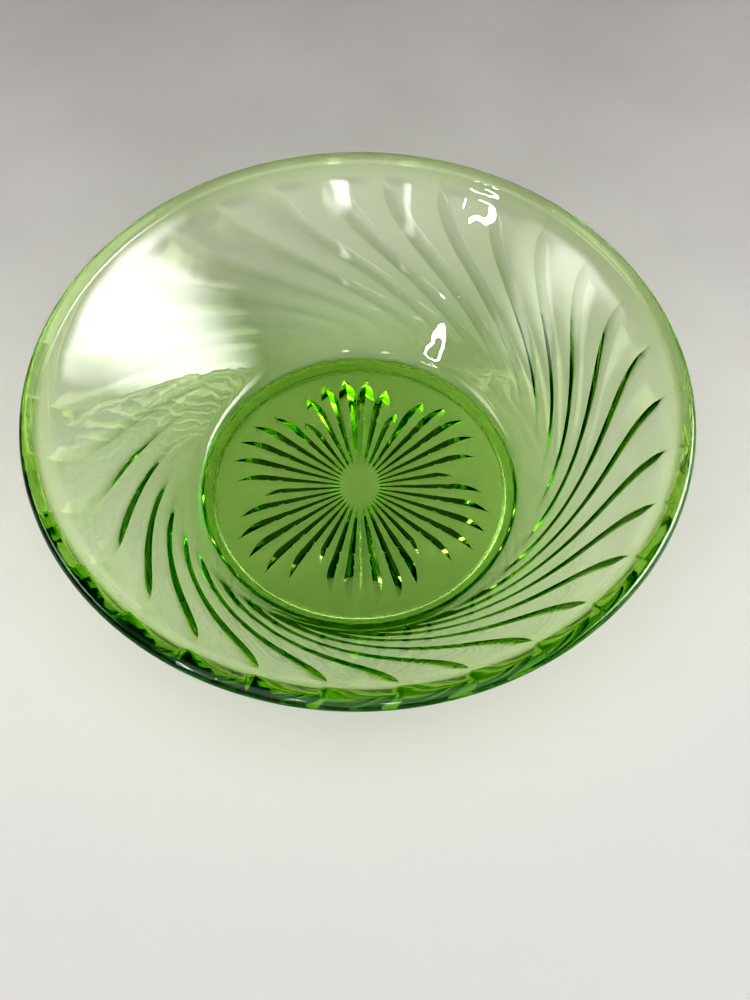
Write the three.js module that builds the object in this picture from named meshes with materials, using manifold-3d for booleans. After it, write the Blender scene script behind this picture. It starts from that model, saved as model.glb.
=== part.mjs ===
// A pressed uranium-glass bowl: one piece of green glass with a flared wall, thirty swirled
// flutes outside, a plain rim band, a foot ring, and a star cut into the underside of its floor.
// Millimetres, +Z up. The foot ring rests on z = 0 and the bowl's axis is the Z axis.
import * as THREE from "three";
import { ConvexGeometry } from "three/addons/geometries/ConvexGeometry.js";
import { mergeVertices } from "three/addons/utils/BufferGeometryUtils.js";
import Module from "manifold-3d";

const { degToRad, lerp, smoothstep } = THREE.MathUtils;

// ---- driving dimensions ----
const HEIGHT = 63.5;
const RIM_RADIUS = 101.6;
// glass thickness through a flute's crest, near the rim and half-way down
const WALL = { rim: 4.8, middle: 3.9 };
const GLASS = { color: 0x86b95a, roughness: 0.04, metalness: 0 };

// the foot ring, and the hollow inside it under the floor
const FOOT = { inner: 50.6, outer: 54.2, edge: 0.4, recess: 2.5, recessRadius: 49.8, height: 3 };

// the wall's outer face bends from the foot up to the band; knee is where its two tangents meet
const WALL_CURVE = {
  foot: new THREE.Vector2(FOOT.outer + FOOT.edge, FOOT.height),
  knee: new THREE.Vector2(81.7, 41),
  band: new THREE.Vector2(98.6, 57.3),
  rows: 12,
};

// the rim: a plain band above the flutes, which turns upright and has a rounded top
const RIM = {
  step: new THREE.Vector2(98.8, 57.55), // just above the ends of the flutes
  bend: new THREE.Vector2(100.3, 59), // where the band starts to turn upright
  knee: new THREE.Vector2(101.1, 59.9),
  outerRound: 2.6, // radius of the top's outer edge
  innerRound: 2, // and of its inner edge
  innerRadius: 95.2,
  innerEnd: 150, // where the inner round meets the inside, in degrees up from the outside
  roundRows: 3,
};

// the inside: a flat floor that meets the wall in a round corner
const FLOOR = { height: 9.5, cornerRadius: 5, cornerRows: 3 };
const INSIDE = { rows: 6, top: 0.95 }; // top is a share of the wall's curve

// flutes: a slow rise to a sharp crest, then a short riser down into the next flute
const FLUTE = {
  count: 30,
  firstCrest: 180.4, // degrees from +X, at the rim
  panelStops: [0, 0.4, 0.75], // places across the slow side, as a share of it
  riserStops: [0, 0.5], // and across the riser
  depths: [[61, 0], [72, 0.75], [82, 1.15], [93.5, 1.2], [97.6, 0.1]], // [radius, depth]
  riserWidths: [[63, 2.2], [74, 3], [83, 4.5], [93, 5.8], [97.6, 1.4]], // [radius, width across]
  riserMost: 0.5, // the largest share of a flute that its riser may take
  bandDepth: 0.05, // depth of the low steps that cross the band
  twistRadius: 95.5, // above this the crests run straight up
  twistRate: 0.047, // degrees for each square millimetre inside twistRadius
  twistLevel: 63, // and the same twist inside this radius
  slope: 50, // the wall's mean slope, in degrees, which the flutes are pressed in square to
};

// star: V grooves in groups of five long rays and a short one
const STAR = {
  firstRay: 116.2, // degrees from +X
  lengths: [41.7, 44.9, 45.8, 44.9, 41.7, 32.8],
  groups: 6,
  hub: 7, // radius of the plain disc at the centre
  halfAngle: 4.85, // half a ray's width, in degrees, where it is widest
  widest: 0.77, // where a ray is widest, as a share of its length
  shoulder: { at: 0.91, size: 0.66 }, // a second station, which rounds the ray's point
  slope: 0.72, // rise of a groove's side for each millimetre across
  overlap: 0.4, // how far a groove's solid starts below the floor it cuts
};

// ---- the bowl's section, as rows from the underside's centre, round the rim, to the floor's centre ----
function row(radius, height, relief = 0, twist = 0) {
  return { radius, height, relief, twist };
}

// A smooth value at this radius that passes through [radius, value] knots.
function through(radius, knots) {
  const next = knots.findIndex(([r]) => r >= radius);
  if (next < 0) return knots.at(-1)[1];
  if (next === 0) return knots[0][1];
  const [r0, low] = knots[next - 1];
  const [r1, high] = knots[next];
  return lerp(low, high, smoothstep(radius, r0, r1));
}

function insideTwistRadius(radius) {
  return Math.max(FLUTE.twistRadius - Math.max(radius, FLUTE.twistLevel), 0);
}

// How far a crest has turned, in degrees, where the wall has this radius.
function twistAt(radius) {
  return FLUTE.twistRate * insideTwistRadius(radius) ** 2;
}

// Share of a flute that its riser takes: the crests lean over as they turn, and so come closer.
function riserShareAt(radius) {
  const turn = degToRad(2 * FLUTE.twistRate * insideTwistRadius(radius));
  const lean = radius * turn * Math.cos(degToRad(FLUTE.slope));
  const betweenCrests = (2 * Math.PI * radius) / FLUTE.count / Math.hypot(1, lean);
  return Math.min(through(radius, FLUTE.riserWidths) / betweenCrests, FLUTE.riserMost);
}

function footRows() {
  const twist = twistAt(FOOT.outer);
  return [
    row(0, FOOT.recess, 0, twist),
    row(FOOT.recessRadius, FOOT.recess, 0, twist),
    row(FOOT.inner, 0, 0, twist),
    row(FOOT.outer, 0, 0, twist),
    row(FOOT.outer + FOOT.edge, FOOT.edge, 0, twist),
  ];
}

function wallCurve() {
  return new THREE.QuadraticBezierCurve(WALL_CURVE.foot, WALL_CURVE.knee, WALL_CURVE.band);
}

function wallRows() {
  const points = wallCurve().getPoints(WALL_CURVE.rows);
  return points.map((p) => row(p.x, p.y, through(p.x, FLUTE.depths), twistAt(p.x)));
}

// Rows round an edge of the top, from one angle to another, in degrees up from the outside.
function roundRows(radius, height, size, from, to) {
  const rows = [];
  for (let i = 0; i <= RIM.roundRows; i += 1) {
    const angle = degToRad(lerp(from, to, i / RIM.roundRows));
    rows.push(row(radius + size * Math.cos(angle), height + size * Math.sin(angle)));
  }
  return rows;
}

function rimRows() {
  const { step, bend, knee, outerRound, innerRound, innerRadius, innerEnd } = RIM;
  return [
    row(step.x, step.y, FLUTE.bandDepth),
    row(bend.x, bend.y, FLUTE.bandDepth),
    row(knee.x, knee.y, FLUTE.bandDepth / 3),
    ...roundRows(RIM_RADIUS - outerRound, HEIGHT - outerRound, outerRound, 0, 90),
    ...roundRows(innerRadius + innerRound, HEIGHT - innerRound, innerRound, 90, innerEnd),
  ];
}

function wallAt(along) {
  return WALL.rim - (WALL.rim - WALL.middle) * Math.sin(Math.PI * along) ** 1.5;
}

// A point on the inside of the wall, a wall's thickness in from the outer curve.
function insidePoint(curve, along) {
  const outward = curve.getTangent(along).rotateAround(new THREE.Vector2(), -Math.PI / 2);
  return curve.getPoint(along).addScaledVector(outward, -wallAt(along));
}

// Where, along the curve, the inside of the wall comes down to this height.
function alongAtHeight(curve, height) {
  let low = 0;
  let high = 1;
  while (high - low > 1e-9) {
    const middle = (low + high) / 2;
    if (insidePoint(curve, middle).y < height) low = middle;
    else high = middle;
  }
  return low;
}

function insideRows() {
  const curve = wallCurve();
  const slope = curve.getTangent(0).angle();
  const cornerReach = FLOOR.cornerRadius * Math.tan(slope / 2);
  const meet = insidePoint(curve, alongAtHeight(curve, FLOOR.height));
  const lowest = alongAtHeight(curve, FLOOR.height + cornerReach * Math.sin(slope));
  const rows = [];
  for (let i = 0; i <= INSIDE.rows; i += 1) {
    const p = insidePoint(curve, lerp(INSIDE.top, lowest, i / INSIDE.rows));
    rows.push(row(p.x, p.y));
  }
  for (let i = 1; i <= FLOOR.cornerRows; i += 1) {
    const angle = slope * (1 - i / FLOOR.cornerRows);
    const centre = meet.x - cornerReach;
    const lift = FLOOR.cornerRadius * (1 - Math.cos(angle));
    rows.push(row(centre + FLOOR.cornerRadius * Math.sin(angle), FLOOR.height + lift));
  }
  rows.push(row(0, FLOOR.height));
  return rows;
}

// ---- the flutes ----
// Places across one flute, as shares of it, where the riser takes this share of the flute.
function fluteStops(riser) {
  const panel = FLUTE.panelStops.map((stop) => stop * (1 - riser));
  const climb = FLUTE.riserStops.map((stop) => 1 - riser + stop * riser);
  return [...panel, ...climb];
}

// Depth of a flute as a share of its deepest: it falls away slowly from one crest, going
// counter-clockwise, and climbs quickly to the next.
function fluteShape(share, riser) {
  const trough = 1 - riser;
  if (share <= trough) return Math.sin((Math.PI / 2) * (share / trough));
  return Math.cos((Math.PI / 2) * ((share - trough) / riser));
}

// Pushes the lathe's vertices into the flutes: each column keeps its place across a flute
// and follows the twist of the crests.
function pressFlutes(geometry, rows) {
  const position = geometry.getAttribute("position");
  const slope = degToRad(FLUTE.slope);
  for (let i = 0; i < position.count; i += 1) {
    const { radius, height, relief, twist } = rows[i % rows.length];
    const riser = riserShareAt(radius);
    const stops = fluteStops(riser);
    const column = Math.floor(i / rows.length) % (FLUTE.count * stops.length);
    const share = stops[column % stops.length];
    const turn = (360 / FLUTE.count) * (Math.floor(column / stops.length) + share);
    const azimuth = degToRad(FLUTE.firstCrest + turn - twist);
    const depth = relief * fluteShape(share, riser);
    const r = radius - depth * Math.sin(slope);
    position.setXYZ(i, r * Math.cos(azimuth), r * Math.sin(azimuth), height + depth * Math.cos(slope));
  }
  return geometry;
}

function bowlGeometry() {
  const rows = [...footRows(), ...wallRows(), ...rimRows(), ...insideRows()];
  const profile = rows.map((r) => new THREE.Vector2(r.radius, r.height));
  const columns = FLUTE.panelStops.length + FLUTE.riserStops.length;
  const lathe = new THREE.LatheGeometry(profile, FLUTE.count * columns);
  return pressFlutes(lathe, rows);
}

// ---- the star ----
// The solid that cuts one ray: a long flat pyramid lying under the floor, point outwards.
function rayGeometry(length, azimuth) {
  const low = FOOT.recess - STAR.overlap;
  const stations = [
    { at: STAR.widest, size: 1 },
    STAR.shoulder,
  ];
  const points = [new THREE.Vector3(STAR.hub, 0, low), new THREE.Vector3(length, 0, low)];
  const halfWidth = STAR.widest * length * Math.tan(degToRad(STAR.halfAngle));
  for (const { at, size } of stations) {
    points.push(new THREE.Vector3(at * length, halfWidth * size, low));
    points.push(new THREE.Vector3(at * length, -halfWidth * size, low));
    points.push(new THREE.Vector3(at * length, 0, FOOT.recess + STAR.slope * halfWidth * size));
  }
  return new ConvexGeometry(points).rotateZ(degToRad(azimuth));
}

function rayGeometries() {
  const rays = STAR.groups * STAR.lengths.length;
  return Array.from({ length: rays }, (_, i) => {
    const length = STAR.lengths[i % STAR.lengths.length];
    return rayGeometry(length, STAR.firstRay - (360 / rays) * i);
  });
}

// ---- joining and cutting ----
const wasm = await Module();
wasm.setup();

function solidOf(geometry) {
  const bare = new THREE.BufferGeometry();
  bare.setAttribute("position", geometry.getAttribute("position"));
  if (geometry.index) bare.setIndex(geometry.index);
  const merged = mergeVertices(bare, 1e-4);
  const index = merged.index.array;
  const triVerts = [];
  for (let i = 0; i < index.length; i += 3) {
    const [a, b, c] = index.slice(i, i + 3);
    if (a !== b && b !== c && c !== a) triVerts.push(a, b, c);
  }
  const vertProperties = new Float32Array(merged.getAttribute("position").array);
  return new wasm.Manifold(new wasm.Mesh({
    numProp: 3,
    vertProperties,
    triVerts: new Uint32Array(triVerts),
  }));
}

function geometryOf(solid) {
  const { vertProperties, triVerts } = solid.getMesh();
  const geometry = new THREE.BufferGeometry();
  geometry.setAttribute("position", new THREE.BufferAttribute(vertProperties, 3));
  geometry.setIndex(new THREE.BufferAttribute(triVerts, 1));
  geometry.computeVertexNormals();
  return geometry;
}

// ---- the dish ----
function dish() {
  const bowl = solidOf(bowlGeometry());
  const cut = rayGeometries().reduce((solid, ray) => solid.subtract(solidOf(ray)), bowl);
  const mesh = new THREE.Mesh(geometryOf(cut), new THREE.MeshStandardMaterial(GLASS));
  mesh.name = "dish";
  return mesh;
}

const part = new THREE.Group();
part.add(dish());

export default part;
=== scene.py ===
"""A pressed uranium-glass bowl in a plain studio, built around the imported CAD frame."""

import math

import bpy
import numpy as np
from mathutils import Matrix, Vector


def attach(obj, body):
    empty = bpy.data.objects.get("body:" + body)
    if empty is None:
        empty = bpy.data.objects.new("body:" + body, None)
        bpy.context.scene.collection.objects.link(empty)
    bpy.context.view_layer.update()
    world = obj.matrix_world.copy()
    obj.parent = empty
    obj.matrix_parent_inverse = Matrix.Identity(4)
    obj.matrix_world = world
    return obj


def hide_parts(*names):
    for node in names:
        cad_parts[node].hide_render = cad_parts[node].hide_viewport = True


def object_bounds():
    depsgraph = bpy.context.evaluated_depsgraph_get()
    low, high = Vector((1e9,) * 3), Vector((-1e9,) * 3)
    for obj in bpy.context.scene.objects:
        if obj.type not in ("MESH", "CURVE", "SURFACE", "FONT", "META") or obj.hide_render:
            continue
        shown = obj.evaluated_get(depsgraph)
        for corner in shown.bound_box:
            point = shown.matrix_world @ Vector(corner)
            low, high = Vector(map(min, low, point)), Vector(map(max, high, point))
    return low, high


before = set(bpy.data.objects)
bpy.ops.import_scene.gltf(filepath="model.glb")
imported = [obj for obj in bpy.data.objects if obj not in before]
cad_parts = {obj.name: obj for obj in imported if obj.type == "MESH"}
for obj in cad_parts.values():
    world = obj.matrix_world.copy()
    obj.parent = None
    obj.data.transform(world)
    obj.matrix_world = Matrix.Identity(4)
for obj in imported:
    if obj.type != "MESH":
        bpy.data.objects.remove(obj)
cad_low, cad_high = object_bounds()

MM = 0.001
RIM_RADIUS = min(cad_high.x, cad_high.y) / MM
HEIGHT = cad_high.z / MM

# ---------------------------------------------------------------- dimensions, in millimetres

RIM_WALL = 4.8  # glass thickness through a flute's crest, near the rim
MIDDLE_WALL = 3.9  # and half-way down

FOOT_INNER = 50.6
FOOT_OUTER = 54.2
FOOT_EDGE = 0.4
RECESS = 2.5  # height of the floor's underside above the foot
RECESS_RADIUS = 49.8
# radii of the small rounds at the recess and at the foot ring's two edges
RECESS_ROUND = 0.5
FOOT_INNER_ROUND = 0.4
FOOT_OUTER_ROUND = 0.6

# the wall's crest line is a curve from its foot to the band, and the knee is its control point
WALL_FOOT = np.array([FOOT_OUTER + FOOT_EDGE, 3.0])
WALL_KNEE = np.array([81.7, 41.0])
WALL_BAND = np.array([98.6, 57.3])

RIM_BEND = np.array([100.3, 59.0])  # where the rim's outer face starts to turn upright
RIM_KNEE = np.array([101.2, 59.9])
RIM_INNER_RADIUS = 95.2
OUTER_ROUND = 2.6  # radius of the rim's outer top edge
INNER_ROUND = 2.0  # and of its inner one
INNER_TOP = 58.8  # the inside wall starts at this height

FLOOR = 9.5  # height of the floor's upper face
CORNER_RADIUS = 5.0  # of the round between the floor and the wall
FLOOR_AIR = 0.08  # a film of air between the foot ring and the paper

FLUTES = 30
FIRST_CREST = 180.4  # degrees from +X, at the rim
# (radius, depth of the flutes) and (radius, width across a riser)
FLUTE_DEPTHS = [(61.0, 0.0), (72.0, 0.75), (82.0, 1.15), (93.5, 1.2), (97.6, 0.1)]
RISER_WIDTHS = [(63.0, 2.2), (74.0, 3.0), (83.0, 4.5), (93.0, 5.8), (97.6, 1.4)]
RISER_MOST = 0.5  # the largest share of a flute that its riser may take
BAND_DEPTH = 0.05  # depth of the low steps that cross the band
BAND_TILT = 57.0  # degrees from level of the face that the band's steps are pressed square to
TWIST_RADIUS = 95.5  # outside this the crests run straight up
TWIST_RATE = 0.047  # degrees for each square millimetre inside TWIST_RADIUS
TWIST_LEVEL = 63.0  # the twist stays the same inside this radius
SHRINK_DEPTH = 0.1  # the flutes show faintly inside, where thick glass shrank more

STAR_FIRST = 116.2  # degrees from +X
STAR_LENGTHS = [41.7, 44.9, 45.8, 44.9, 41.7, 32.8]  # one group, clockwise
STAR_GROUPS = 6
STAR_HUB = 7.0  # the grooves fade out about this radius
STAR_HALF_ANGLE = 4.85  # degrees, where a ray is widest
STAR_WIDEST = 0.77  # where that is, as a share of the ray's length
STAR_SLOPE = 0.72  # rise of a groove's side for each millimetre across

# mesh density
FLUTE_COLUMNS = 24
RAY_COLUMNS = 20
COLUMNS = FLUTES * FLUTE_COLUMNS
WALL_ROWS = 44
GROOVE_COLUMNS = 6  # of the columns on each side of a ray's middle, those inside its groove

# camera, sized by the rim's radius
CAMERA_BACK = 2.004
CAMERA_ABOVE = 2.751
CAMERA_TURN = (1.52, 59.6, 0.7)  # degrees: to the right, down, and tilted
CAMERA_LENS = 41.07  # for a sensor 36 mm wide

# glass and light
GLASS_IOR = 1.52
GLASS_COLOR = (0.61, 0.85, 0.14, 1.0)
GLASS_DENSITY = 101.0  # for each metre of glass
# painted glow, partly real: a faint green emission in the glass that lightens it where light is
# trapped, such as on the dark risers
PAINTED_GLOW_COLOR = (0.02, 1.0, 0.01, 1.0)
PAINTED_GLOW = 0.003
CARD_DISTANCE = 1.3  # metres from the bowl


# ---------------------------------------------------------------- camera

def make_camera():
    """A phone's view from above and in front, sized by the bowl's rim."""
    radius = RIM_RADIUS * MM
    place = Vector((0.0, -CAMERA_BACK * radius, HEIGHT * MM + CAMERA_ABOVE * radius))
    yaw, pitch, roll = (math.radians(a) for a in CAMERA_TURN)
    ahead = Vector((math.sin(yaw) * math.cos(pitch), math.cos(yaw) * math.cos(pitch), -math.sin(pitch)))
    level = Vector((math.cos(yaw), -math.sin(yaw), 0.0))
    up = level.cross(ahead)
    right = math.cos(roll) * level + math.sin(roll) * up
    top = math.cos(roll) * up - math.sin(roll) * level
    data = bpy.data.cameras.new("camera")
    data.sensor_width = 36.0
    data.lens = CAMERA_LENS
    data.clip_start = 0.01
    camera = bpy.data.objects.new("camera", data)
    camera.matrix_world = Matrix.Translation(place) @ Matrix((right, top, -ahead)).transposed().to_4x4()
    bpy.context.scene.collection.objects.link(camera)
    bpy.context.scene.camera = camera


# ---------------------------------------------------------------- the bowl's shape

def smoothstep(x, low, high):
    """Rises smoothly from 0 at low to 1 at high."""
    t = np.clip((x - low) / (high - low), 0.0, 1.0)
    return t * t * (3.0 - 2.0 * t)


def wall_curve(t):
    """Points and unit tangents of the wall's outer crest line, from the foot to the band."""
    t = np.asarray(t)[:, None]
    point = (1 - t) ** 2 * WALL_FOOT + 2 * t * (1 - t) * WALL_KNEE + t**2 * WALL_BAND
    tangent = (1 - t) * (WALL_KNEE - WALL_FOOT) + t * (WALL_BAND - WALL_KNEE)
    return point, tangent / np.linalg.norm(tangent, axis=1)[:, None]


def through(radius, knots):
    """A smooth value at this radius that passes through (radius, value) knots."""
    radii, values = zip(*knots)
    i = min(max(int(np.searchsorted(radii, radius)) - 1, 0), len(radii) - 2)
    share = float(smoothstep(radius, radii[i], radii[i + 1]))
    return values[i] + (values[i + 1] - values[i]) * share


def twist_at(radius):
    """How far a crest has turned, in degrees, where the wall has this radius."""
    inside = max(TWIST_RADIUS - max(radius, TWIST_LEVEL), 0.0)
    return TWIST_RATE * inside**2


def riser_share_at(radius, run):
    """Share of a flute that its riser, the steep side, takes.

    run is the wall's horizontal run for each unit of length up its slope.
    """
    turn = math.radians(2 * TWIST_RATE * max(TWIST_RADIUS - max(radius, TWIST_LEVEL), 0.0))
    lean = radius * turn * run
    between_crests = 2 * math.pi * radius / FLUTES / math.hypot(1.0, lean)
    return min(through(radius, RISER_WIDTHS) / between_crests, RISER_MOST)


def flute_columns(riser):
    """Places across one flute, as a share of it: as many on the narrow riser as on the wide panel."""
    half = FLUTE_COLUMNS // 2
    panel = 0.5 - 0.5 * np.cos(np.pi * np.arange(half) / half)
    climb = np.arange(half) / half
    return np.concatenate([(1 - riser) * panel, 1 - riser + riser * climb])


def flute_depth(share, riser):
    """Depth as a share of the deepest: a slow fall from one crest, a quick climb to the next."""
    trough = 1.0 - riser
    panel = np.sin(0.5 * np.pi * np.clip(share / trough, 0, 1))
    climb = np.cos(0.5 * np.pi * np.clip((share - trough) / riser, 0, 1))
    return np.where(share <= trough, panel, climb)


def fluted_row(radius, height, relief, out, turn):
    """One ring of the outer face. out is the face's outward normal (radial, up)."""
    riser = riser_share_at(radius, abs(out[1]))
    one = flute_columns(riser)
    share = np.tile(one, FLUTES)
    flute = np.repeat(np.arange(FLUTES), FLUTE_COLUMNS)
    azimuth = np.radians(FIRST_CREST + 360.0 / FLUTES * (flute + share) - turn)
    depth = relief * flute_depth(share, riser)
    r = radius - depth * out[0]
    z = height - depth * out[1]
    return np.column_stack([r * np.cos(azimuth), r * np.sin(azimuth), z])


def wall_rows():
    """The fluted rings of the wall's outer face."""
    t = np.linspace(0.0, 1.0, WALL_ROWS)
    points, tangents = wall_curve(t)
    rows = []
    for (radius, height), (dr, dz) in zip(points, tangents):
        relief = through(radius, FLUTE_DEPTHS)
        rows.append(fluted_row(radius, height, relief, (dz, -dr), twist_at(radius)))
    return rows


def arc(centre, radius, start, end, steps):
    """Points on an arc of the section, between angles in degrees up from the outside."""
    angles = np.radians(np.linspace(start, end, steps))
    return [(centre[0] + radius * math.cos(a), centre[1] + radius * math.sin(a)) for a in angles]


def foot_profile():
    """From the recess's edge, round the foot ring, to the wall's foot."""
    outer = FOOT_OUTER + FOOT_EDGE
    recess = (RECESS_RADIUS - RECESS_ROUND, RECESS - RECESS_ROUND)
    profile = arc(recess, RECESS_ROUND, 90, 20, 4)
    profile += arc((FOOT_INNER + FOOT_INNER_ROUND, FOOT_INNER_ROUND), FOOT_INNER_ROUND, 200, 270, 4)
    profile += arc((outer - FOOT_OUTER_ROUND, FOOT_OUTER_ROUND), FOOT_OUTER_ROUND, -90, -5, 5)
    profile += [(outer - 0.05, 1.8), (outer - 0.02, 2.4)]
    return profile


def rim_profile():
    """From just above the band's step, over the rounded top, to the inside."""
    low = np.array([WALL_BAND[0] + 0.2, WALL_BAND[1] + 0.25])
    face = [tuple(low + (RIM_BEND - low) * share) for share in np.linspace(0, 1, 4)]
    high = np.array([RIM_RADIUS, HEIGHT - OUTER_ROUND])
    for t in np.linspace(0, 1, 6)[1:]:
        face.append(tuple((1 - t) ** 2 * RIM_BEND + 2 * t * (1 - t) * RIM_KNEE + t**2 * high))
    outer = arc((RIM_RADIUS - OUTER_ROUND, HEIGHT - OUTER_ROUND), OUTER_ROUND, 10, 90, 8)
    inner = arc((RIM_INNER_RADIUS + INNER_ROUND, HEIGHT - INNER_ROUND), INNER_ROUND, 90, 160, 7)
    return face, outer + [((RIM_RADIUS + RIM_INNER_RADIUS) / 2, HEIGHT)] + inner


def inside_profile():
    """From the rim's inner edge, down the wall and round the corner, to the floor."""
    points, tangents = wall_curve(np.linspace(0.0, 1.0, 400))
    share = np.linspace(0.0, 1.0, 400)
    wall = RIM_WALL - (RIM_WALL - MIDDLE_WALL) * np.sin(np.pi * share) ** 1.5
    inner = points - wall[:, None] * np.column_stack([tangents[:, 1], -tangents[:, 0]])
    slope = math.atan2(tangents[0, 1], tangents[0, 0])
    reach = CORNER_RADIUS * math.tan(slope / 2)
    meet = np.interp(FLOOR, inner[:, 1], inner[:, 0])
    lowest = FLOOR + reach * math.sin(slope)
    heights = np.linspace(INNER_TOP, lowest, 26)
    wall = [(float(np.interp(h, inner[:, 1], inner[:, 0])), float(h)) for h in heights]
    centre = (meet - reach, FLOOR + CORNER_RADIUS)
    corner = arc(centre, CORNER_RADIUS, math.degrees(slope) - 90, -90, 9)
    floor = [(r, FLOOR) for r in np.linspace(meet - reach, 0, 12)[1:-1]]
    return wall + corner[1:] + floor


# ---------------------------------------------------------------- the star

def ray_half_width(radius, length):
    """Half a ray's width: it grows with the radius, then closes to a point like a leaf's."""
    widest = STAR_WIDEST * length
    spread = math.tan(math.radians(STAR_HALF_ANGLE))
    if radius <= widest:
        return radius * spread
    along = min((radius - widest) / (length - widest), 1.0)
    return widest * spread * (1 + 0.3 * along) * (1 - along**2)


def star_row(radius):
    """One ring of the floor's underside, with columns that follow the edges of the rays."""
    rays = STAR_GROUPS * len(STAR_LENGTHS)
    pitch = 360.0 / rays
    half = RAY_COLUMNS // 2
    groove = GROOVE_COLUMNS
    points = []
    for ray in range(rays):
        # counter-clockwise order, so the lengths run backwards
        length = STAR_LENGTHS[-ray % len(STAR_LENGTHS)]
        half_width = ray_half_width(radius, length)
        width = math.degrees(max(half_width, 0.1) / radius)
        depth = STAR_SLOPE * half_width * float(smoothstep(radius, STAR_HUB - 4.5, STAR_HUB + 5.0))
        for column in range(-half, half):
            side = abs(column)
            if side <= groove:
                angle = width * side / groove
                lift = depth * (1 - side / groove)
            else:
                angle = width + (pitch / 2 - width) * (side - groove) / (half - groove)
                lift = 0.0
            azimuth = math.radians(STAR_FIRST + ray * pitch + math.copysign(angle, column))
            points.append((radius * math.cos(azimuth), radius * math.sin(azimuth), RECESS + lift))
    return np.array(points)


def star_rows():
    """Rings from near the centre to outside the star, closest together at the rays' ends."""
    radii = list(np.linspace(1.5, STAR_HUB, 4)) + list(np.linspace(STAR_HUB, 22, 6)[1:])
    radii += list(np.linspace(22, 47, 22)[1:])
    return [star_row(r) for r in radii]


# ---------------------------------------------------------------- mesh

def inside_row(radius, height, outward):
    """One ring of the inside. It follows the flutes faintly; outward points out of the bowl."""
    near = min(radius + RIM_WALL * outward[0], float(WALL_BAND[0]))
    share = np.arange(COLUMNS // 2) / (COLUMNS // 2 / FLUTES)
    azimuth = np.radians(FIRST_CREST + 360.0 / FLUTES * share - twist_at(near))
    wave = 0.5 - 0.5 * np.cos(2 * np.pi * share)
    fade = float(smoothstep(near, 66.0, 76.0) * (1 - smoothstep(near, 94.0, WALL_BAND[0])))
    depth = SHRINK_DEPTH * fade * (wave + 0.35 * wave**3)
    r = radius + depth * outward[0]
    z = height + depth * outward[1]
    return np.column_stack([r * np.cos(azimuth), r * np.sin(azimuth), z])


def aligned(row, reference):
    """The same closed ring, started at the column nearest to the reference ring's first."""
    directions = row[:, :2] / np.linalg.norm(row[0, :2])
    first = reference[0, :2] / np.linalg.norm(reference[0, :2])
    start = int(np.argmin(np.linalg.norm(directions - first, axis=1)))
    return np.roll(row, -start, axis=0)


def bowl_rings():
    """Every ring of the closed surface, from the underside's centre to the floor's centre."""
    turn = twist_at(TWIST_LEVEL)
    foot = [fluted_row(r, z, 0.0, (1, 0), turn) for r, z in foot_profile()]
    star = [aligned(row, foot[0]) for row in star_rows()]
    face, top = rim_profile()
    tilt = math.radians(BAND_TILT)
    out = (math.sin(tilt), -math.cos(tilt))
    fade = [1.0 - float(smoothstep(r, RIM_BEND[0], RIM_RADIUS)) for r, _ in face]
    band = [fluted_row(r, z, BAND_DEPTH * f, out, 0.0) for (r, z), f in zip(face, fade)]
    rim = [fluted_row(r, z, 0.0, out, 0.0) for r, z in top]
    inside = [inside_row(r, z, (0.7, -0.7)) for r, z in inside_profile()]
    level = fluted_row(RIM_RADIUS, 0.0, 0.0, out, 0.0)
    rim = even_out(rim, level)
    return star + foot + wall_rows() + band + rim, inside


def even_out(rows, level):
    """Slides the columns of these rings, step by step, from the flutes' spacing to an even one."""
    start = np.unwrap(np.arctan2(level[:, 1], level[:, 0]))
    end = start[0] + 2 * math.pi * np.arange(COLUMNS) / COLUMNS
    evened = []
    for i, row in enumerate(rows):
        share = (i + 1) / len(rows)
        azimuth = (1 - share) * start + share * end
        r = np.hypot(row[:, 0], row[:, 1])
        evened.append(np.column_stack([r * np.cos(azimuth), r * np.sin(azimuth), row[:, 2]]))
    return evened


def stitch(faces, first, second, count):
    """Joins two closed rings of the same number of vertices with quads."""
    for i in range(count):
        j = (i + 1) % count
        faces.append((first + i, first + j, second + j, second + i))


def bowl_mesh():
    """One closed mesh. The inside has half as many columns as the outside."""
    fine, coarse = bowl_rings()
    points = [np.array([[0, 0, RECESS]])] + fine + coarse + [np.array([[0, 0, FLOOR]])]
    starts = np.cumsum([0] + [len(p) for p in points])
    faces = []
    first = int(starts[1])
    for i in range(COLUMNS):
        faces.append((0, first + (i + 1) % COLUMNS, first + i))
    for i in range(len(fine) - 1):
        stitch(faces, int(starts[1 + i]), int(starts[2 + i]), COLUMNS)
    # every second column goes on down the inside
    last, inner = int(starts[len(fine)]), int(starts[len(fine) + 1])
    half = COLUMNS // 2
    for i in range(half):
        j = (i + 1) % half
        above = (last + 2 * i, last + 2 * i + 1, last + (2 * i + 2) % COLUMNS)
        faces.append((*above, inner + j, inner + i))
    for i in range(len(coarse) - 1):
        stitch(faces, inner + i * half, inner + (i + 1) * half, half)
    centre = int(starts[-1]) - 1
    ring_start = centre - half
    for i in range(half):
        faces.append((ring_start + i, ring_start + (i + 1) % half, centre))
    vertices = np.vstack(points) * MM
    mesh = bpy.data.meshes.new("dish_glass")
    mesh.from_pydata(vertices.tolist(), [], faces)
    mesh.validate()
    mesh.polygons.foreach_set("use_smooth", [True] * len(mesh.polygons))
    mesh.set_sharp_from_angle(angle=math.radians(24))
    return mesh


# ---------------------------------------------------------------- glass

def node(tree, kind, **settings):
    """A new node with these properties set."""
    made = tree.nodes.new(kind)
    for key, value in settings.items():
        setattr(made, key, value)
    return made


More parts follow.
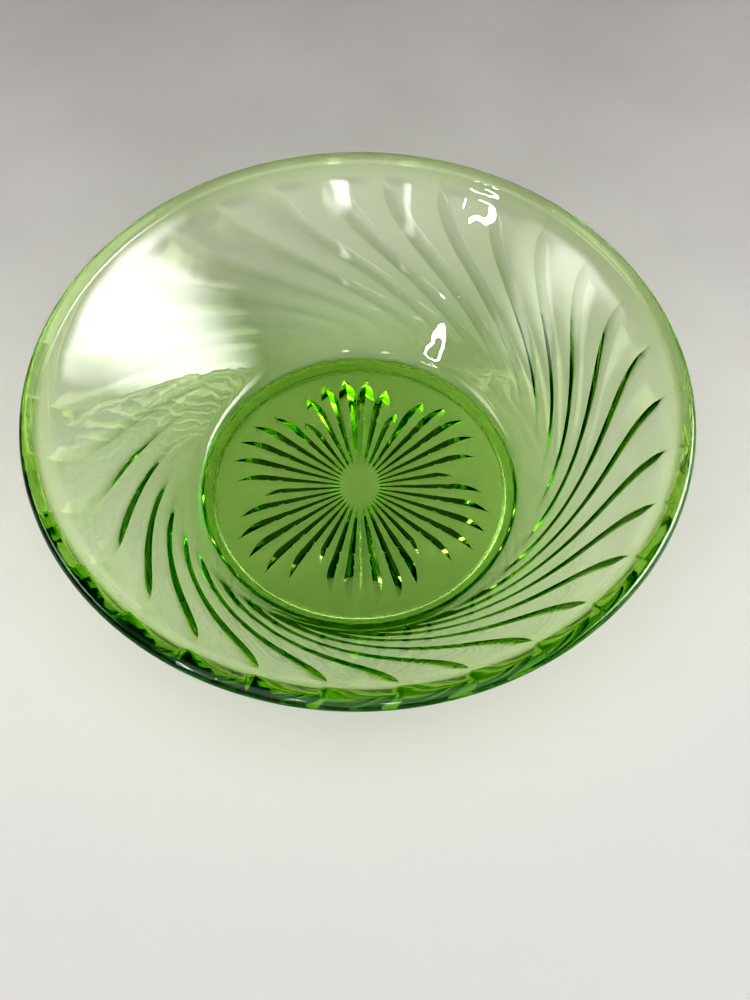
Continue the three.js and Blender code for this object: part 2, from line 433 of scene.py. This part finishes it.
def foot_wear(tree, coordinates):
    """Roughness: the ring that the bowl stands on is scuffed, and the rest is clear and glossy."""
    separate = node(tree, "ShaderNodeSeparateXYZ")
    tree.links.new(coordinates.outputs["Object"], separate.inputs["Vector"])
    near_foot = node(tree, "ShaderNodeMapRange", interpolation_type="SMOOTHSTEP")
    near_foot.inputs["From Min"].default_value = 0.2 * MM
    near_foot.inputs["From Max"].default_value = 1.0 * MM
    near_foot.inputs["To Min"].default_value = 1.0
    near_foot.inputs["To Max"].default_value = 0.0
    tree.links.new(separate.outputs["Z"], near_foot.inputs["Value"])
    scuffs = node(tree, "ShaderNodeTexNoise")
    scuffs.inputs["Scale"].default_value = 900.0
    scuffs.inputs["Detail"].default_value = 4.0
    tree.links.new(coordinates.outputs["Object"], scuffs.inputs["Vector"])
    wear = node(tree, "ShaderNodeMath", operation="MULTIPLY")
    tree.links.new(near_foot.outputs["Result"], wear.inputs[0])
    tree.links.new(scuffs.outputs["Fac"], wear.inputs[1])
    return wear.outputs["Value"]


def uranium_glass():
    """Clear yellow-green glass: green builds up with the length of glass that light passes."""
    material = bpy.data.materials.new("uranium_glass")
    material.use_nodes = True
    tree = material.node_tree
    tree.nodes.clear()
    output = node(tree, "ShaderNodeOutputMaterial")
    shader = node(tree, "ShaderNodeBsdfPrincipled")
    shader.inputs["Base Color"].default_value = (1.0, 1.0, 1.0, 1.0)
    shader.inputs["Transmission Weight"].default_value = 1.0
    shader.inputs["IOR"].default_value = GLASS_IOR
    # painted glow, partly real: uranium glass glows faintly green in daylight, and this emission is set
    # to lighten the glass where light is trapped in it, such as on the dark risers
    shader.inputs["Emission Color"].default_value = PAINTED_GLOW_COLOR
    shader.inputs["Emission Strength"].default_value = PAINTED_GLOW
    absorption = node(tree, "ShaderNodeVolumeAbsorption")
    absorption.inputs["Color"].default_value = GLASS_COLOR
    absorption.inputs["Density"].default_value = GLASS_DENSITY
    tree.links.new(shader.outputs["BSDF"], output.inputs["Surface"])
    tree.links.new(absorption.outputs["Volume"], output.inputs["Volume"])
    material.cycles.emission_sampling = "NONE"
    coordinates = node(tree, "ShaderNodeTexCoord")
    tree.links.new(foot_wear(tree, coordinates), shader.inputs["Roughness"])
    # slow ripples left by the press
    ripple = node(tree, "ShaderNodeTexNoise")
    ripple.inputs["Scale"].default_value = 60.0
    ripple.inputs["Detail"].default_value = 2.0
    tree.links.new(coordinates.outputs["Object"], ripple.inputs["Vector"])
    bump = node(tree, "ShaderNodeBump")
    bump.inputs["Strength"].default_value = 0.25
    bump.inputs["Distance"].default_value = 0.0006
    tree.links.new(ripple.outputs["Fac"], bump.inputs["Height"])
    tree.links.new(bump.outputs["Normal"], shader.inputs["Normal"])
    return material


def make_dish():
    dish = bpy.data.objects.new("dish_glass", bowl_mesh())
    bpy.context.scene.collection.objects.link(dish)
    dish.data.materials.append(uranium_glass())
    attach(dish, "root")
    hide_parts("dish")


# ---------------------------------------------------------------- stage

def paper():
    """Pale backdrop paper with soft blotches and painted shade: it darkens towards the back in place of
    light falling off there.
    """
    material = bpy.data.materials.new("pale_paper")
    material.use_nodes = True
    tree = material.node_tree
    shader = tree.nodes["Principled BSDF"]
    shader.inputs["Roughness"].default_value = 0.6
    coordinates = node(tree, "ShaderNodeTexCoord")
    separate = node(tree, "ShaderNodeSeparateXYZ")
    tree.links.new(coordinates.outputs["Object"], separate.inputs["Vector"])
    blotches = node(tree, "ShaderNodeTexNoise")
    blotches.inputs["Scale"].default_value = 14.0
    blotches.inputs["Detail"].default_value = 3.0
    tree.links.new(coordinates.outputs["Object"], blotches.inputs["Vector"])
    spread = node(tree, "ShaderNodeMapRange")
    spread.inputs["To Min"].default_value = -0.06
    spread.inputs["To Max"].default_value = 0.06
    tree.links.new(blotches.outputs["Fac"], spread.inputs["Value"])
    # painted shade: the colour runs from pale at the front to dark at the back, standing in for less
    # light there; the blotches shift that change at random
    depth = node(tree, "ShaderNodeMath", operation="ADD")
    tree.links.new(separate.outputs["Y"], depth.inputs[0])
    tree.links.new(spread.outputs["Result"], depth.inputs[1])
    ramp = node(tree, "ShaderNodeMapRange", interpolation_type="SMOOTHSTEP")
    ramp.inputs["From Min"].default_value = -0.10
    ramp.inputs["From Max"].default_value = 0.42
    tree.links.new(depth.outputs["Value"], ramp.inputs["Value"])
    painted_shade_and_blotches = node(tree, "ShaderNodeMix", data_type="RGBA")
    painted_shade_and_blotches.inputs[6].default_value = (0.84, 0.825, 0.81, 1.0)
    painted_shade_and_blotches.inputs[7].default_value = (0.44, 0.415, 0.40, 1.0)
    tree.links.new(ramp.outputs["Result"], painted_shade_and_blotches.inputs[0])
    tree.links.new(painted_shade_and_blotches.outputs[2], shader.inputs["Base Color"])
    return material


def make_plane(name, corners, material):
    mesh = bpy.data.meshes.new(name)
    mesh.from_pydata(corners, [], [tuple(range(len(corners)))])
    plane = bpy.data.objects.new(name, mesh)
    plane.data.materials.append(material)
    bpy.context.scene.collection.objects.link(plane)
    return plane


def make_floor():
    size = 6.0
    low = -FLOOR_AIR * MM
    corners = [(-size, -size, low), (size, -size, low), (size, size, low), (-size, size, low)]
    make_plane("floor", corners, paper())


def direction(azimuth, elevation):
    """The unit vector this many degrees round from +X and up from the floor."""
    a, e = math.radians(azimuth), math.radians(elevation)
    return Vector((math.cos(a) * math.cos(e), math.sin(a) * math.cos(e), math.sin(e)))


def face_bowl(thing, azimuth, elevation):
    """Stands a thing off the bowl in this direction, in degrees from +X and above the floor."""
    out = direction(azimuth, elevation)
    thing.location = out * CARD_DISTANCE + Vector((0, 0, HEIGHT * MM / 2))
    thing.rotation_mode = "QUATERNION"
    thing.rotation_quaternion = out.to_track_quat("Z", "Y")


def soft_glow(name, strength):
    """An emitter that is brightest in its middle and fades to nothing at its edges."""
    material = bpy.data.materials.new(name)
    material.use_nodes = True
    tree = material.node_tree
    tree.nodes.clear()
    output = node(tree, "ShaderNodeOutputMaterial")
    emission = node(tree, "ShaderNodeEmission")
    coordinates = node(tree, "ShaderNodeTexCoord")
    gradient = node(tree, "ShaderNodeTexGradient", gradient_type="SPHERICAL")
    tree.links.new(coordinates.outputs["Object"], gradient.inputs["Vector"])
    ramp = node(tree, "ShaderNodeMapRange", interpolation_type="SMOOTHSTEP")
    ramp.inputs["From Max"].default_value = 0.8
    ramp.inputs["To Max"].default_value = strength
    tree.links.new(gradient.outputs["Fac"], ramp.inputs["Value"])
    tree.links.new(ramp.outputs["Result"], emission.inputs["Strength"])
    clear = node(tree, "ShaderNodeBsdfTransparent")
    both = node(tree, "ShaderNodeAddShader")
    tree.links.new(emission.outputs["Emission"], both.inputs[0])
    tree.links.new(clear.outputs["BSDF"], both.inputs[1])
    tree.links.new(both.outputs["Shader"], output.inputs["Surface"])
    return material


def reflected_only(thing):
    """Lets a bright card show in the glass without lighting the floor."""
    thing.visible_diffuse = False
    thing.visible_camera = False
    bpy.context.scene.collection.objects.link(thing)


def glow_card(name, azimuth, elevation, width, height, strength):
    """A soft bright card, with its size in metres."""
    mesh = bpy.data.meshes.new(name)
    mesh.from_pydata([(-1, -1, 0), (1, -1, 0), (1, 1, 0), (-1, 1, 0)], [], [(0, 1, 2, 3)])
    card = bpy.data.objects.new(name, mesh)
    card.data.materials.append(soft_glow(name, strength))
    card.scale = (width / 2, height / 2, 1.0)
    face_bowl(card, azimuth, elevation)
    reflected_only(card)


def ring_lamp(name, azimuth, elevation, radius, tube, strength):
    """Three quarters of a glowing ring."""
    steps, sides = 24, 8
    points, faces = [], []
    for i in range(steps + 1):
        around = math.radians(270) * i / steps
        for j in range(sides):
            across = 2 * math.pi * j / sides
            reach = radius + tube * math.cos(across)
            points.append((reach * math.cos(around), reach * math.sin(around), tube * math.sin(across)))
    for i in range(steps):
        for j in range(sides):
            k = (j + 1) % sides
            faces.append((i * sides + j, i * sides + k, (i + 1) * sides + k, (i + 1) * sides + j))
    mesh = bpy.data.meshes.new(name)
    mesh.from_pydata(points, [], faces)
    material = bpy.data.materials.new(name)
    material.use_nodes = True
    shader = material.node_tree.nodes["Principled BSDF"]
    shader.inputs["Emission Color"].default_value = (1.0, 1.0, 1.0, 1.0)
    shader.inputs["Emission Strength"].default_value = strength
    lamp = bpy.data.objects.new(name, mesh)
    lamp.data.materials.append(material)
    face_bowl(lamp, azimuth, elevation)
    reflected_only(lamp)


def make_world():
    """Dim surroundings with one broad soft light, above and behind the camera."""
    world = bpy.data.worlds.new("studio")
    world.use_nodes = True
    tree = world.node_tree
    background = tree.nodes["Background"]
    background.inputs["Color"].default_value = (1.0, 0.99, 0.985, 1.0)
    coordinates = node(tree, "ShaderNodeTexCoord")
    towards = node(tree, "ShaderNodeVectorMath", operation="DOT_PRODUCT")
    towards.inputs[1].default_value = direction(-90, 52)
    tree.links.new(coordinates.outputs["Generated"], towards.inputs[0])
    lobe = node(tree, "ShaderNodeMapRange", interpolation_type="SMOOTHSTEP")
    lobe.inputs["From Min"].default_value = math.cos(math.radians(58))
    lobe.inputs["From Max"].default_value = math.cos(math.radians(12))
    lobe.inputs["To Min"].default_value = 0.06
    lobe.inputs["To Max"].default_value = 1.80
    tree.links.new(towards.outputs["Value"], lobe.inputs["Value"])
    # behind the floor's edge stands a pale backdrop, which lights nothing
    rays = node(tree, "ShaderNodeLightPath")
    backdrop = node(tree, "ShaderNodeMath", operation="MULTIPLY")
    backdrop.inputs[1].default_value = 0.5
    tree.links.new(rays.outputs["Is Camera Ray"], backdrop.inputs[0])
    brighter = node(tree, "ShaderNodeMath", operation="MAXIMUM")
    tree.links.new(lobe.outputs["Result"], brighter.inputs[0])
    tree.links.new(backdrop.outputs["Value"], brighter.inputs[1])
    tree.links.new(brighter.outputs["Value"], background.inputs["Strength"])
    bpy.context.scene.world = world


def make_lights():
    make_world()
    glow_card("window_right", 2, 21, 1.9, 1.0, 11.0)
    glow_card("window_left", 184, 29, 1.2, 0.66, 5.0)
    glow_card("strip_right", -82, 41, 0.14, 0.40, 9.0)
    glow_card("strip_left", -108, 41, 0.14, 0.40, 7.0)
    ring_lamp("lamp_high", -135, 37, 0.085, 0.015, 28.0)
    ring_lamp("lamp_low", -133, 20, 0.09, 0.015, 28.0)


def set_light_paths():
    cycles = bpy.context.scene.cycles
    cycles.max_bounces = 32
    cycles.transmission_bounces = 32
    cycles.glossy_bounces = 8
    cycles.diffuse_bounces = 4
    cycles.sample_clamp_indirect = 2.5
    cycles.use_denoising = True
    view = bpy.context.scene.view_settings
    view.view_transform = "Standard"
    view.look = "High Contrast"
    view.use_curve_mapping = True
    view.curve_mapping.black_level = (0.016, 0.012, 0.014)
    view.curve_mapping.update()


make_camera()
set_light_paths()
make_dish()
make_floor()
make_lights()
